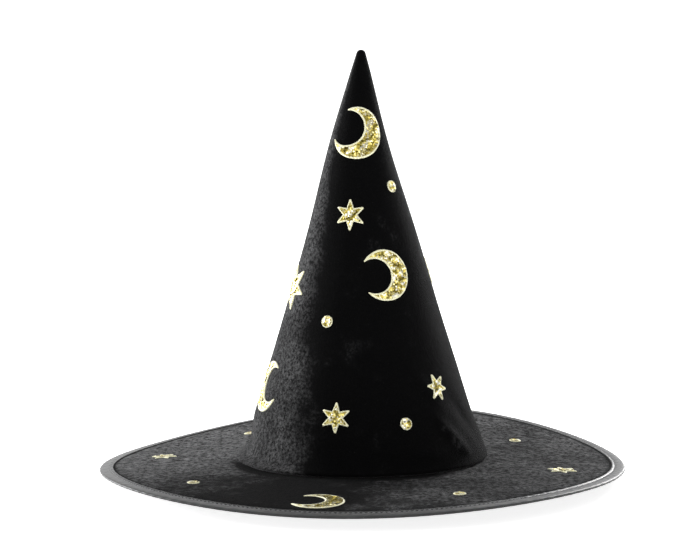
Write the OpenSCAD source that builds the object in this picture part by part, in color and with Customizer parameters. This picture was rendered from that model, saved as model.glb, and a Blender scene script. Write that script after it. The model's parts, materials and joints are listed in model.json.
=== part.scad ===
// Witch hat: a tall velvet cone on a wide flat brim, with moons, stars and dots.
// The origin is on the table under the middle of the hat, +Z is up and -Y is the front.

/* [Head] */
// Radius of the sweatband where the head enters
head_r = 89; // [88.5:0.1:89.2]
// Height of the sweatband
band_h = 28; // [24:1:30]

/* [Crown] */
// Height of the crown's tip above the table
crown_top = 323; // [316:1:330]
// Radius of the round tip
tip_round = 3.6; // [3.4:0.1:3.8]
// Radius lost for each millimetre of height
cone_slope = 0.2913; // [0.29:0.001:0.3]
// Depth of the hollow in the crown's long side
hollow = 1.35; // [0:0.05:2]
// How far the crown kicks out at its foot
flare = 3.3; // [3.2:0.1:3.6]
// Radius of the rolled lip at the crown's foot
lip_round = 3; // [2.8:0.1:3.2]

/* [Brim] */
// Width of the brim over its binding
brim_d = 398; // [380:1:420]
// Height that the brim gains from its edge to the crown
brim_rise = 12; // [10:0.5:14]
// Width of the satin binding on each face
binding_w = 10; // [8:0.5:12]
// Diameter of the steel wire in the brim's edge
wire_d = 1.5; // [1:0.1:1.6]

/* [Cloth] */
// Thickness of the velvet
velvet_t = 1; // [0.8:0.1:1]
// Thickness of the felt that stiffens the crown
felt_t = 1; // [0.8:0.1:1]
// Thickness of the lining cloth
lining_t = 0.4; // [0.3:0.1:0.4]
// Thickness of the ribbed sweatband
band_t = 0.8; // [0.6:0.1:0.8]
// Thickness of the board that stiffens the brim
board_t = 2; // [1.5:0.1:2.2]
// Thickness of the cloth under the brim
under_t = 0.5; // [0.4:0.1:0.6]
// Thickness of the satin binding
satin_t = 0.45; // [0.4:0.05:0.5]

/* [Motifs] */
// Radius of a moon's outer edge
moon_r = 19.8; // [18:0.1:20]
// Radius of the circle that hollows a moon
moon_cut_r = 13; // [12.5:0.1:13.5]
// Distance of that circle from the moon's middle
moon_cut_out = 8.8; // [8.5:0.1:9]
// Radius of a dot
dot_r = 4.7; // [4:0.1:5]
// Width of the embroidered edge
edging_w = 1.8; // [1.4:0.1:2]
// Height of the embroidered edge
edging_t = 0.9; // [0.7:0.1:1]
// Thickness of the glitter cloth
glitter_t = 0.5; // [0.4:0.1:0.6]

/* [Hidden] */
$fn = 96;

black_velvet = "#1c1b1d";
grey_satin = "#8c8d8f";
gold = "#c9a84a";
pale_gold = "#efe6b0";

// Room between layers that lie on each other, and room left for turned seams.
lay_gap = 0.05;
seam_room = 1.4;

// ---- Brim: a flat cone whose cloth is measured straight up.
brim_r = brim_d / 2;
brim_t = under_t + board_t + velvet_t;
fold_r = brim_t / 2 + satin_t;
fold_x = brim_r - fold_r;
fold_z = fold_r;
tab_t = 1;
tab_r = head_r + band_t + 0.2;
hole_r = tab_r + tab_t + lay_gap;
brim_slope = brim_rise / (fold_x - hole_r);
cloth_edge_r = fold_x - 1.15;
stitch_in = 7.7;

function under_z(r) = satin_t + (fold_x - r) * brim_slope;
function top_z(r) = under_z(r) + brim_t;

// ---- Crown: a cone with a slight hollow, a flare at its foot and a rolled lip.
lip_z = top_z(hole_r) + lay_gap;
flare_len = 6;
lip_tilt = atan(cone_slope + flare / flare_len);
skirt_z = lip_z + lip_round * (1 + sin(lip_tilt));
tip_tilt = atan(cone_slope);
tip_z = crown_top - tip_round;
wall_top = tip_z + tip_round * sin(tip_tilt);
cone_apex = tip_z + tip_round / sin(tip_tilt);
hollow_from = 55;
hollow_to = 305;
wall_steps = 28;

// A wall thickness seen level is a little more than square to the cloth.
level = sqrt(1 + cone_slope * cone_slope);

function share(z) = min(1, max(0, (z - hollow_from) / (hollow_to - hollow_from)));
function crown_rule(z) = cone_slope * (cone_apex - z) - hollow * sin(180 * share(z))
                         + flare * exp((skirt_z - z) / flare_len);
wall_z = [for (i = [0:wall_steps]) skirt_z + (wall_top - skirt_z) * pow(i / wall_steps, 1.6)];
wall = [for (z = wall_z) [z, crown_rule(z)]];
function crown_r(z) = lookup(z, wall);

lip_x = crown_r(skirt_z) - lip_round * cos(lip_tilt);
lip_mid_z = skirt_z - lip_round * sin(lip_tilt);

// Depth of each layer's outer face below the velvet's face.
felt_in = velvet_t + lay_gap;
tabs_in = felt_in + felt_t + lay_gap;
lining_in = felt_in + felt_t + seam_room;
band_in = lining_in + lining_t + lay_gap;
label_t = 0.3;

function reverse(list) = [for (i = [len(list) - 1:-1:0]) list[i]];
function heights(low, high) =
    concat([low], [for (z = wall_z) if (z > low + 0.2 && z < high - 0.2) z], [high]);
function wall_line(depth, low, high) =
    [for (z = heights(low, high)) [crown_r(z) - depth * level, z]];
function arc(x, z, r, from, to, steps) =
    [for (i = [0:steps]) [x + r * cos(from + (to - from) * i / steps),
                          z + r * sin(from + (to - from) * i / steps)]];

// A closed ring of cloth that lies between two depths below the velvet's face.
module wall_layer(depth, thick, low, high) {
    rotate_extrude()
        polygon(concat(wall_line(depth, low, high),
                       reverse(wall_line(depth + thick, low, high))));
}

// The line of a layer that rolls under at the foot and ends against the tabs.
function rolled_line(depth, high) = concat(
    [[hole_r, lip_mid_z - lip_round + depth]],
    arc(lip_x, lip_mid_z, lip_round - depth, -90, lip_tilt - 4, 8),
    wall_line(depth, skirt_z + 0.3, high));

// ---- Motif places. Crown: turn from the front towards +X, height, spin.
upper_moon = [-7.2, 262, 153];
middle_moon = [21.9, 159, 177];
left_moon = [-72, 73.4, 0];
rear_left_moon = [-136, 124, 200];
rear_right_moon = [122, 90, 165];
// The same for stars, with the radius of their points.
upper_star = [-11.6, 202, 0, 12.3];
left_star = [-70.8, 146.7, 0, 18];
front_star = [-14.5, 58.2, 0, 11.5];
right_star = [46.8, 76.5, 30, 11];
rear_high_star = [150, 212, 12, 12.3];
rear_left_star = [-142, 60, 8, 11.5];
rear_right_star = [102, 156, 20, 12.3];
crown_dot_places = [[49, 222.3], [-26.2, 125.5], [22.5, 52.9], [-120, 194], [166, 156],
                    [95, 56], [-166, 90], [142, 44]];
// Brim: x, y, spin, and the radius of a star's points.
front_moon = [-31.6, -159.7, 185];
rear_moon = [52, 142, 40];
left_brim_star = [-153, 24.5, 20, 11.5];
right_brim_star = [147.8, -51, 10, 11.5];
rear_brim_star = [-42, 156, 0, 11.5];
brim_dot_places = [[-93.5, 111], [-122, -94.5], [120.5, 65], [68.4, -141.3], [-4, 118]];

crown_moons = [upper_moon, middle_moon, left_moon, rear_left_moon, rear_right_moon];
crown_stars = [upper_star, left_star, front_star, right_star, rear_high_star,
               rear_left_star, rear_right_star];
brim_moons = [front_moon, rear_moon];
brim_stars = [left_brim_star, right_brim_star, rear_brim_star];

// Outlines, as points. A moon opens along +X before it is spun.
star_notch = 0.5;
function tip_angle(r, cut) = acos((r * r - cut * cut + pow(moon_cut_out, 2)) / (2 * r * moon_cut_out));
function cut_angle(r, cut) = acos((r * r - cut * cut - pow(moon_cut_out, 2)) / (2 * cut * moon_cut_out));
function moon_points(inset) =
    let (r = moon_r - inset, cut = moon_cut_r + inset, a = tip_angle(r, cut), b = cut_angle(r, cut))
    concat(arc(0, 0, r, a, 360 - a, 24), arc(moon_cut_out, 0, cut, 360 - b, b, 16));
// Every side of a star is equally far from its middle, so a smaller star is an even inset.
function star_side(r) = r * star_notch * sin(30) / sqrt(1 + pow(star_notch, 2) - 2 * star_notch * cos(30));
function star_points(r, inset) =
    let (k = 1 - inset / star_side(r))
    [for (i = [0:11]) let (q = k * r * (i % 2 == 0 ? 1 : star_notch)) [q * sin(30 * i), q * cos(30 * i)]];
function spun(points, a) = [for (p = points) [p.x * cos(a) - p.y * sin(a), p.x * sin(a) + p.y * cos(a)]];
// Cloth wraps the cone, so a point's sideways run is an arc seen from the front.
function wrapped(points, r) = [for (p = points) [r * sin(min(88, max(-88, p.x / r * 180 / PI))), p.y]];

// ---- Motifs on the crown.
// The cloth under a motif: a short ring of the wall, kept on the motif's own side.
module on_crown(place, reach, thick) {
    turn = place[0];
    low = place[1] - reach;
    high = place[1] + reach;
    intersection() {
        wall_layer(-thick, thick, low, high);
        rotate([0, 0, turn])
            translate([0, -crown_r(place[1]), place[1]])
            rotate([90 - tip_tilt, 0, 0])
            translate([0, 0, -0.95 * crown_r(place[1])])
            linear_extrude(0.95 * crown_r(place[1]) + 4)
            children();
    }
}

module crown_patch(points, place, reach) {
    on_crown(place, reach, glitter_t)
        polygon(wrapped(spun(points, place[2]), crown_r(place[1])));
}

module crown_edge(outer, inner, place, reach) {
    on_crown(place, reach, edging_t)
        difference() {
            polygon(wrapped(spun(outer, place[2]), crown_r(place[1])));
            polygon(wrapped(spun(inner, place[2]), crown_r(place[1])));
        }
}

module crown_moon(place) {
    color(gold) crown_patch(moon_points(edging_w), place, moon_r);
}

module crown_star(place) {
    color(gold) crown_patch(star_points(place[3], edging_w), place, place[3]);
}

module crown_dots() {
    color(gold)
        for (place = crown_dot_places)
            on_crown(place, dot_r, glitter_t) circle(dot_r - edging_w);
}

module crown_motif_edging() {
    color(pale_gold) {
        for (place = crown_moons)
            crown_edge(moon_points(0), moon_points(edging_w), place, moon_r + 1);
        for (place = crown_stars)
            crown_edge(star_points(place[3], 0), star_points(place[3], edging_w), place, place[3] + 1);
        for (place = crown_dot_places)
            on_crown(place, dot_r + 1, edging_t)
                difference() {
                    circle(dot_r);
                    circle(dot_r - edging_w);
                }
    }
}

// ---- Motifs on the brim.
module brim_layer(low_in, high_in, inner, outer) {
    rotate_extrude()
        polygon([[inner, under_z(inner) + low_in], [outer, under_z(outer) + low_in],
                 [outer, under_z(outer) + high_in], [inner, under_z(inner) + high_in]]);
}

module on_brim(place, thick) {
    intersection() {
        brim_layer(brim_t, brim_t + thick, hole_r + 1, brim_r - binding_w);
        translate([place[0], place[1], 0]) linear_extrude(30) children();
    }
}

module brim_moon(place) {
    color(gold) on_brim(place, glitter_t) polygon(spun(moon_points(edging_w), place[2]));
}

module brim_star(place) {
    color(gold) on_brim(place, glitter_t) polygon(spun(star_points(place[3], edging_w), place[2]));
}

module brim_dots() {
    color(gold)
        for (place = brim_dot_places)
            on_brim(place, glitter_t) circle(dot_r - edging_w);
}

module brim_motif_edging() {
    color(pale_gold) {
        for (place = brim_moons)
            on_brim(place, edging_t)
                difference() {
                    polygon(spun(moon_points(0), place[2]));
                    polygon(spun(moon_points(edging_w), place[2]));
                }
        for (place = brim_stars)
            on_brim(place, edging_t)
                difference() {
                    polygon(spun(star_points(place[3], 0), place[2]));
                    polygon(spun(star_points(place[3], edging_w), place[2]));
                }
        for (place = brim_dot_places)
            on_brim(place, edging_t)
                difference() {
                    circle(dot_r);
                    circle(dot_r - edging_w);
                }
    }
}

// ---- Crown.
module crown_velvet() {
    color(black_velvet)
        rotate_extrude()
        polygon(concat(rolled_line(0, wall_top),
                       arc(0, tip_z, tip_round, tip_tilt + 8, 90, 6),
                       [[0, tip_z + tip_round - velvet_t]],
                       reverse(rolled_line(velvet_t, wall_top - 1))));
}

felt_top = crown_top - 13;
module crown_stiffener() {
    color("#3a3a3c")
        rotate_extrude()
        polygon(concat(rolled_line(felt_in, felt_top),
                       reverse(rolled_line(felt_in + felt_t, felt_top))));
}

lining_top = crown_top - 20;
module crown_lining() {
    color("#26262a")
        rotate_extrude()
        polygon(concat(wall_line(lining_in, skirt_z + 1, lining_top),
                       [[0, lining_top + 1], [0, lining_top + 1 - lining_t]],
                       reverse(wall_line(lining_in + lining_t, skirt_z + 1, lining_top - lining_t))));
}

tabs_high = skirt_z + 7;
tab_count = 24;
tab_slit = 1.5;
tab_root = 4;
module head_seam_tabs() {
    color("#232325")
        difference() {
            rotate_extrude()
                polygon(concat([[tab_r, under_z(tab_r) - 0.05], [tab_r + tab_t, under_z(tab_r) - 0.05],
                                [tab_r + tab_t, skirt_z - 1]],
                               wall_line(tabs_in, skirt_z + 0.5, tabs_high),
                               reverse(wall_line(tabs_in + tab_t, skirt_z + 0.5, tabs_high)),
                               [[tab_r, skirt_z - 1]]));
            for (i = [1:tab_count])
                rotate([0, 0, 360 * (i + 0.5) / tab_count])
                    translate([0, -tab_slit / 2, lip_z + tab_root])
                    cube([2 * head_r, tab_slit, 30]);
        }
}

allowance_w = 8;
allowance_low = tabs_high + 1;
allowance_high = crown_top - 48;
allowance_t = 1.1;
module crown_seam_allowance() {
    color("#202022")
        intersection() {
            wall_layer(tabs_in, allowance_t, allowance_low, allowance_high);
            union() {
                translate([0.4, 0, 0]) cube([allowance_w, 2 * head_r, crown_top]);
                translate([-0.4 - allowance_w, 0, 0]) cube([allowance_w, 2 * head_r, crown_top]);
            }
        }
}

seam_thread_w = 0.5;
module crown_seam_thread() {
    color("#111111")
        intersection() {
            wall_layer(tabs_in, seam_thread_w, allowance_low, allowance_high);
            translate([-seam_thread_w / 2, 0, 0]) cube([seam_thread_w, 2 * head_r, crown_top]);
        }
}

// ---- Sweatband: a lead-in, a true cylinder for the head, then a cone that follows the crown.
lead_h = 2.4;
lead_in = 1.2;
bore_low = under_z(tab_r) + 0.1;
band_low = bore_low - lead_h;
band_top = band_low + band_h;
module sweatband() {
    color("#2a2a2c")
        rotate_extrude()
        polygon(concat([[head_r + lead_in, band_low], [head_r + lead_in + band_t, band_low],
                        [head_r + band_t, bore_low], [head_r + band_t, skirt_z]],
                       wall_line(band_in, skirt_z + 1.2, band_top),
                       reverse(wall_line(band_in + band_t, skirt_z + 1.2, band_top)),
                       [[head_r, skirt_z], [head_r, bore_low]]));
}

thread_r = 0.15;
module thread_ring(r, z) {
    rotate_extrude() translate([r, z]) circle(thread_r, $fn = 24);
}

// A row of stitches on the lead-in, clear of the head's way in.
module sweatband_thread() {
    color("#55555a")
        thread_ring(head_r + lead_in / 2 - 0.2, (band_low + bore_low) / 2 - 0.05);
}

head_stitch_out = 1.6;
module head_seam_thread() {
    color("#111111")
        thread_ring(hole_r + head_stitch_out, under_z(hole_r + head_stitch_out) - thread_r - 0.01);
}

label_w = 26;
label_low = band_top + 4;
label_high = label_low + 30;
module care_label() {
    color("#d8d8d8")
        intersection() {
            wall_layer(lining_in + lining_t + lay_gap, label_t, label_low, label_high);
            translate([-label_w / 2, 0, 0]) cube([label_w, 2 * head_r, crown_top]);
        }
}

// ---- Brim.
module brim_velvet() {
    color(black_velvet) brim_layer(under_t + board_t, brim_t, hole_r, cloth_edge_r);
}

module brim_board() {
    color("#4a4a4c") brim_layer(under_t, under_t + board_t, hole_r, cloth_edge_r);
}

module brim_underside() {
    color("#242427") brim_layer(0, under_t, hole_r, cloth_edge_r);
}

wire_r = wire_d / 2;
wire_x = fold_x + 0.15;
wire_gap = 1;
ferrule_wall = 0.4;
ferrule_arc = 5;

module brim_wire() {
    color("#9a9da0")
        rotate([0, 0, 90 + wire_gap / 2])
        rotate_extrude(angle = 360 - wire_gap)
        translate([wire_x, fold_z]) circle(wire_r, $fn = 24);
}

module wire_ferrule() {
    color("#b5b7ba")
        rotate([0, 0, 90 - ferrule_arc / 2])
        rotate_extrude(angle = ferrule_arc)
        translate([wire_x, fold_z])
        difference() {
            circle(wire_r + 0.02 + ferrule_wall, $fn = 32);
            circle(wire_r + 0.02, $fn = 32);
        }
}

// Cloth folded round the edge: a flat strip on each face and a half round between them.
module binding_section() {
    leg_x = brim_r - binding_w;
    polygon(concat([[leg_x, under_z(leg_x) - satin_t]],
                   arc(fold_x, fold_z, fold_r, -90, 90, 12),
                   [[leg_x, top_z(leg_x) + satin_t], [leg_x, top_z(leg_x)]],
                   arc(fold_x, fold_z, fold_r - satin_t, 90, -90, 12),
                   [[leg_x, under_z(leg_x)]]));
}

module brim_binding() {
    color(grey_satin) rotate_extrude() binding_section();
}

module binding_thread() {
    stitch_x = brim_r - stitch_in;
    color("#3c3c3e") {
        thread_ring(stitch_x, top_z(stitch_x) + satin_t + thread_r);
        thread_ring(stitch_x, under_z(stitch_x) - satin_t - thread_r);
    }
}

crown_velvet();
crown_stiffener();
crown_lining();
crown_seam_allowance();
crown_seam_thread();
head_seam_tabs();
head_seam_thread();
sweatband();
sweatband_thread();
care_label();
brim_velvet();
brim_board();
brim_underside();
brim_wire();
wire_ferrule();
brim_binding();
binding_thread();
crown_moon(upper_moon);  // crown_moon_upper
crown_moon(middle_moon);  // crown_moon_middle
crown_moon(left_moon);  // crown_moon_left
crown_moon(rear_left_moon);  // crown_moon_rear_left
crown_moon(rear_right_moon);  // crown_moon_rear_right
crown_star(upper_star);  // crown_star_upper
crown_star(left_star);  // crown_star_left
crown_star(front_star);  // crown_star_front
crown_star(right_star);  // crown_star_right
crown_star(rear_high_star);  // crown_star_rear_high
crown_star(rear_left_star);  // crown_star_rear_left
crown_star(rear_right_star);  // crown_star_rear_right
crown_dots();
crown_motif_edging();
brim_moon(front_moon);  // brim_moon_front
brim_moon(rear_moon);  // brim_moon_rear
brim_star(left_brim_star);  // brim_star_left
brim_star(right_brim_star);  // brim_star_right
brim_star(rear_brim_star);  // brim_star_rear
brim_dots();
brim_motif_edging();
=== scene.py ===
"""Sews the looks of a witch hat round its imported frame: velvet crown and brim, satin binding,
sweatband and lining, glitter moons, stars and dots with embroidered edges, and a plain studio."""
import json
import math

import bpy
import numpy as np
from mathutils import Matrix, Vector


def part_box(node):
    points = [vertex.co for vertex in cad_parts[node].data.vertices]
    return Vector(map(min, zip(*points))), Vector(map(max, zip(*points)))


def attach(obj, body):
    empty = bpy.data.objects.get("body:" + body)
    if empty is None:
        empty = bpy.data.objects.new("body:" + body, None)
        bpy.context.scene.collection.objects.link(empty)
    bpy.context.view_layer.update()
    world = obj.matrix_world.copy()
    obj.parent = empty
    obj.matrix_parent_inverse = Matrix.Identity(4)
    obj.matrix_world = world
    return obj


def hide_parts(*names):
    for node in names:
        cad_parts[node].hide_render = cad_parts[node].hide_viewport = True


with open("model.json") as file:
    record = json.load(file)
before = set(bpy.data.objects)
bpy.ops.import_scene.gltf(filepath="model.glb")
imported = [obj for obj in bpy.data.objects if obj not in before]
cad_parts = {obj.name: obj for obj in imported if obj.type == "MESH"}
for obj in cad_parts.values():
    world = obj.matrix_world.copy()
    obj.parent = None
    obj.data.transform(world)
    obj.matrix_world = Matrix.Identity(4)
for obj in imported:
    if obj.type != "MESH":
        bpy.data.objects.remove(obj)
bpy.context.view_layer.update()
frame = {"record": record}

bl_info = {
    "name": "Witch Hat",
    "version": (1, 0, 0),
    "blender": (4, 5, 0),
    "location": "3D View > Sidebar > Witch Hat",
    "description": "Makes the cloth, trim and motifs of a pointed velvet hat",
    "category": "Add Mesh",
}

MM = 0.001
BODY = "root"


# ---------------------------------------------------------------- sizes read from the frame, in mm
def node_box(name):
    """Lowest and highest corner of a frame node, in mm."""
    return [np.array(corner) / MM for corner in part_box(name)]


def node_heights(name):
    """Lowest and highest point of a frame node, in mm."""
    return [corner[2] for corner in node_box(name)]


def record_colour(slot):
    """The record's base colour for a material slot."""
    found = [m for m in frame["record"]["materials"] if m["slot"] == slot]
    return tuple(found[0]["base_color"][:3])


HEAD_MOUNT = [m for m in frame["record"]["mounts"] if m["name"] == "head_opening"][0]
HEAD_R = HEAD_MOUNT["dims"]["r_mm"]
BRIM_R = node_box("brim_binding")[1][0]
LIP_Z, CROWN_TOP = node_heights("crown_velvet")
BAND_LOW, BAND_HIGH = node_heights("sweatband")
TABS_HIGH = node_heights("head_seam_tabs")[1]
FELT_TOP = node_heights("crown_stiffener")[1]
LINING_TOP = node_heights("crown_lining")[1]
ALLOWANCE_LOW, ALLOWANCE_HIGH = node_heights("crown_seam_allowance")
LABEL_LOW, LABEL_HIGH = node_heights("care_label")
LABEL_W = node_box("care_label")[1][0] * 2

VELVET_T = 1.0
FELT_T = 1.0
LINING_T = 0.4
BAND_T = 0.8
TAB_T = 1.0
UNDER_T = 0.5
BOARD_T = 2.0
SATIN_T = 0.45
ALLOWANCE_T = 1.1
LABEL_T = 0.3
THREAD_T = 0.45
HEAD_THREAD_T = 0.5
LAY_GAP = 0.05
BRIM_T = UNDER_T + BOARD_T + VELVET_T
FELT_IN = VELVET_T + LAY_GAP
TABS_IN = FELT_IN + FELT_T + LAY_GAP
LINING_IN = FELT_IN + FELT_T + 1.4
BAND_IN = LINING_IN + LINING_T + LAY_GAP

TAB_R = HEAD_R + BAND_T + 0.2
HOLE_R = TAB_R + TAB_T + LAY_GAP
FOLD_R = BRIM_T / 2 + SATIN_T
FOLD_X = BRIM_R - FOLD_R
BRIM_RISE = LIP_Z - LAY_GAP - BRIM_T - SATIN_T
CLOTH_EDGE_R = FOLD_X - 1.15
BINDING_W = 10.0
STITCH_R = BRIM_R - 7.7
BEAD_R = BRIM_R - 4.6
HEM_R = BRIM_R - 9.3

CONE_SLOPE = 0.2913
CONE_ANGLE = math.atan(CONE_SLOPE)
TIP_ROUND = 3.6
TIP_Z = CROWN_TOP - TIP_ROUND
CONE_APEX = TIP_Z + TIP_ROUND / math.sin(CONE_ANGLE)
HOLLOW = 1.35
HOLLOW_FROM, HOLLOW_TO = 55.0, 305.0
FLARE = 1.6
FLARE_LENGTH = 4.2
LIP_ROUND = 2.2
LIP_TILT = math.atan(CONE_SLOPE + FLARE / FLARE_LENGTH)
SKIRT_Z = LIP_Z + LIP_ROUND * (1 + math.sin(LIP_TILT))
LEVEL = math.hypot(1, CONE_SLOPE)


# ---------------------------------------------------------------- the hat's shape
def smooth(t):
    """Smooth step from 0 to 1."""
    t = np.clip(t, 0.0, 1.0)
    return t * t * (3 - 2 * t)


def bump(t):
    """Gaussian hump, 1 at 0."""
    return np.exp(-np.square(t))


def crown_radius(z):
    """Radius of the velvet at height z: a straight cone, less half a sine wave for the hollow of its
    long side, plus a flare that dies away up from the foot."""
    share = np.clip((z - HOLLOW_FROM) / (HOLLOW_TO - HOLLOW_FROM), 0, 1)
    flare = FLARE * np.exp(-np.maximum(z - SKIRT_Z, 0) / FLARE_LENGTH)
    return CONE_SLOPE * (CONE_APEX - z) - HOLLOW * np.sin(np.pi * share) + flare


def brim_under(r):
    """Height of the brim's lower face at radius r, before it waves: a straight fall to the edge."""
    return SATIN_T + (FOLD_X - r) * BRIM_RISE / (FOLD_X - HOLE_R)


# Up and down movement of the brim's edge: (cosine, sine) of once, twice and three times round.
EDGE_WAVE = ((2.61, 0.22), (-3.39, 1.77), (-1.38, -2.95))
EDGE_LIFT = 9.4
FOOT_WAVE = (-0.3, 1.4, -1.3)
FOOT_R = 95.0
FOOT_FADE = 45.0
KICK, KICK_HIGH, KICK_LENGTH = 4.6, 1.5, 3.6
PINCH, PINCH_WIDE = 0.42, 17.0
FLOOR_Z = 1.6


def edge_wave(a):
    """Height of the brim's edge at angle a from +X: three sine waves round the edge."""
    waves = [c * np.cos(n * a) + s * np.sin(n * a) for n, (c, s) in enumerate(EDGE_WAVE, 1)]
    return EDGE_LIFT + sum(waves)


def crown_lean(z):
    """Sideways shift of the crown's middle at height z: it bulges to +X low down and bows back above."""
    return (2.5 * bump((z - 28) / 17) + 0.5 * bump((z - 80) / 50)
            - 2.6 * bump((z - 250) / 48) - 0.9 * smooth((z - 230) / 80))


# Soft creases in the crown: turn from the front, height, tilt of the crease, length, width, depth.
CREASES = (
    (51, 38, 128, 24, 5.5, 2.6), (40, 74, 124, 20, 6, 1.3), (66, 52, 126, 22, 7, -1.6),
    (30, 30, 172, 22, 4.5, 0.9), (8, 40, 10, 20, 5, 0.5), (-8, 36, 8, 26, 6, -0.5),
    (-58, 30, 12, 24, 6, -0.5), (12, 96, 80, 40, 14, -0.5), (-30, 176, 84, 46, 11, -0.5),
    (30, 214, 84, 34, 9, 0.4), (-52, 104, 74, 34, 10, 0.6), (120, 56, 60, 26, 7, 0.8),
    (-128, 86, 70, 36, 10, -0.7), (162, 128, 84, 60, 9, 0.5), (-96, 44, 30, 26, 8, 0.6),
    (96, 132, 78, 40, 12, -0.5),
)


def foot_kick(a, z):
    """How far the foot's lip is kicked out on the -X side: a Gaussian hump up the wall."""
    side = smooth((-np.cos(a) - 0.25) / 0.75)
    return KICK * side * bump((z - LIP_Z - KICK_HIGH) / KICK_LENGTH) * smooth((z - LIP_Z + 1) / 2)


def crown_creases(turn, z):
    """How far the crown stands in or out at a turn and height: one long Gaussian hump per crease."""
    r = crown_radius(z)
    total = np.zeros(np.broadcast(turn, z).shape)
    for at, high, tilt, length, width, depth in CREASES:
        away = (turn - math.radians(at) + np.pi) % (2 * np.pi) - np.pi
        across, up = away * r, (z - high) * LEVEL
        c, s = math.cos(math.radians(tilt)), math.sin(math.radians(tilt))
        total += depth * bump((across * c + up * s) / length) * bump((up * c - across * s) / width)
    return total * smooth((z - SKIRT_Z) / 12)


def settle(points, pinch=PINCH):
    """Carries points of the straight pattern to where the sewn cloth hangs: the brim's edge is pinched
    towards the middle of its layers and waves, the crown's foot tilts, and its creases and lean come
    in above the lip."""
    x, y, z = points[..., 0], points[..., 1], points[..., 2]
    r = np.hypot(x, y)
    z = z - pinch * smooth((r - BRIM_R + PINCH_WIDE) / 11) * (z - brim_under(r) - BRIM_T / 2)
    a = np.arctan2(y, x)
    out = np.clip((r - FOOT_R) / (BRIM_R - FOOT_R), 0, 1)
    foot = FOOT_WAVE[0] + FOOT_WAVE[1] * np.cos(a) + FOOT_WAVE[2] * np.cos(2 * a)
    foot = foot * np.exp(-np.maximum(z - LIP_Z, 0) / FOOT_FADE)
    rise = foot * (1 - out) + edge_wave(a) * out
    lean = crown_lean(np.maximum(z, LIP_Z)) * (1 - smooth((r - FOOT_R) / 30))
    kick = foot_kick(a, z)
    rise = rise + 0.35 * kick
    crease = (crown_creases(a + np.pi / 2, z) + kick) / np.maximum(r, 1.0)
    return np.stack([x * (1 + crease) + lean, y * (1 + crease), z + rise], axis=-1)


# ---------------------------------------------------------------- meshes from arrays of points
def quads(rows, columns, wrap_rows):
    """Corners of the four-sided faces of a grid whose columns close on themselves."""
    i, j = np.meshgrid(np.arange(rows if wrap_rows else rows - 1), np.arange(columns), indexing="ij")
    down, right = (i + 1) % rows, (j + 1) % columns
    return np.stack([i * columns + j, i * columns + right, down * columns + right, down * columns + j],
                    axis=-1).reshape(-1, 4)


def tube(points, wrap_rows=False):
    """A closed skin over a grid of points (rows, columns, 3). Columns close on themselves; rows do too,
    or end in a fan on the middle of the first and last row. Returns points, quads and triangles."""
    rows, columns = points.shape[:2]
    faces = quads(rows, columns, wrap_rows)
    flat = points.reshape(-1, 3)
    if wrap_rows:
        return flat, faces, np.zeros((0, 3), int)
    ends = np.array([points[0].mean(0), points[-1].mean(0)])
    j = np.arange(columns)
    first = np.stack([np.full(columns, rows * columns), (j + 1) % columns, j], axis=-1)
    low = (rows - 1) * columns
    last = np.stack([np.full(columns, rows * columns + 1), low + j, low + (j + 1) % columns], axis=-1)
    return np.concatenate([flat, ends]), faces, np.concatenate([first, last])


def many(points):
    """Many alike tubes at once, from points (count, rows, columns, 3), each with its two end fans."""
    count = len(points)
    one = tube(points[0])
    size = len(one[0])
    ends = np.stack([points[:, 0].mean(1), points[:, -1].mean(1)], axis=1)
    flat = np.concatenate([points.reshape(count, -1, 3), ends], axis=1)
    step = (np.arange(count) * size)[:, None, None]
    return flat.reshape(-1, 3), (one[1] + step).reshape(-1, 4), (one[2] + step).reshape(-1, 3)


def join(parts):
    """Several (points, quads, triangles) as one."""
    shift, points, fours, threes = 0, [], [], []
    for part in parts:
        points.append(part[0])
        fours.append(part[1] + shift)
        threes.append(part[2] + shift)
        shift += len(part[0])
    return np.concatenate(points), np.concatenate(fours), np.concatenate(threes)


def volume(points, fours, threes):
    """Signed volume inside a closed skin: the sum over its triangles of the triple product over six."""
    corners = np.concatenate([threes, fours[:, [0, 1, 2]], fours[:, [0, 2, 3]]])
    a, b, c = (points[corners[:, k]] for k in range(3))
    return np.einsum("ij,ij->i", a, np.cross(b, c)).sum() / 6


def make_piece(name, part, material, nodes, sharp=None, values=None):
    """Puts a skin given in mm into a mesh object whose faces point outwards, hangs it under the body's empty,
    and hides the frame nodes that it stands for. values is one number for each point, kept as the attribute
    "tone"."""
    points, fours, threes = part
    if volume(points, fours, threes) < 0:
        fours, threes = fours[:, ::-1], threes[:, ::-1]
    mesh = bpy.data.meshes.new(name)
    loops = np.concatenate([fours.ravel(), threes.ravel()])
    starts = np.concatenate([np.arange(len(fours)) * 4, len(fours) * 4 + np.arange(len(threes)) * 3])
    mesh.vertices.add(len(points))
    mesh.vertices.foreach_set("co", (points * MM).astype(np.float32).ravel())
    mesh.loops.add(len(loops))
    mesh.loops.foreach_set("vertex_index", loops.astype(np.int32))
    mesh.polygons.add(len(starts))
    mesh.polygons.foreach_set("loop_start", starts.astype(np.int32))
    mesh.update(calc_edges=True)
    mesh.polygons.foreach_set("use_smooth", np.ones(len(starts), bool))
    if sharp is not None:
        mesh.set_sharp_from_angle(angle=math.radians(sharp))
    if values is not None:
        tone = mesh.attributes.new("tone", "FLOAT", "POINT")
        tone.data.foreach_set("value", values.astype(np.float32))
    if mesh.validate():
        raise RuntimeError(f"{name} has faces that are not sound")
    mesh.materials.append(material)
    piece = bpy.data.objects.new(name, mesh)
    bpy.context.scene.collection.objects.link(piece)
    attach(piece, BODY)
    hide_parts(*nodes)


def full_turn(count):
    """Angles from +X once round, without the last one."""
    return np.arange(count) * 2 * np.pi / count


def round_axis(r, a, z):
    """Points at radius r, angle a from +X and height z."""
    r, a, z = np.broadcast_arrays(r, a, z)
    return np.stack([r * np.cos(a), r * np.sin(a), z], axis=-1)


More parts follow.
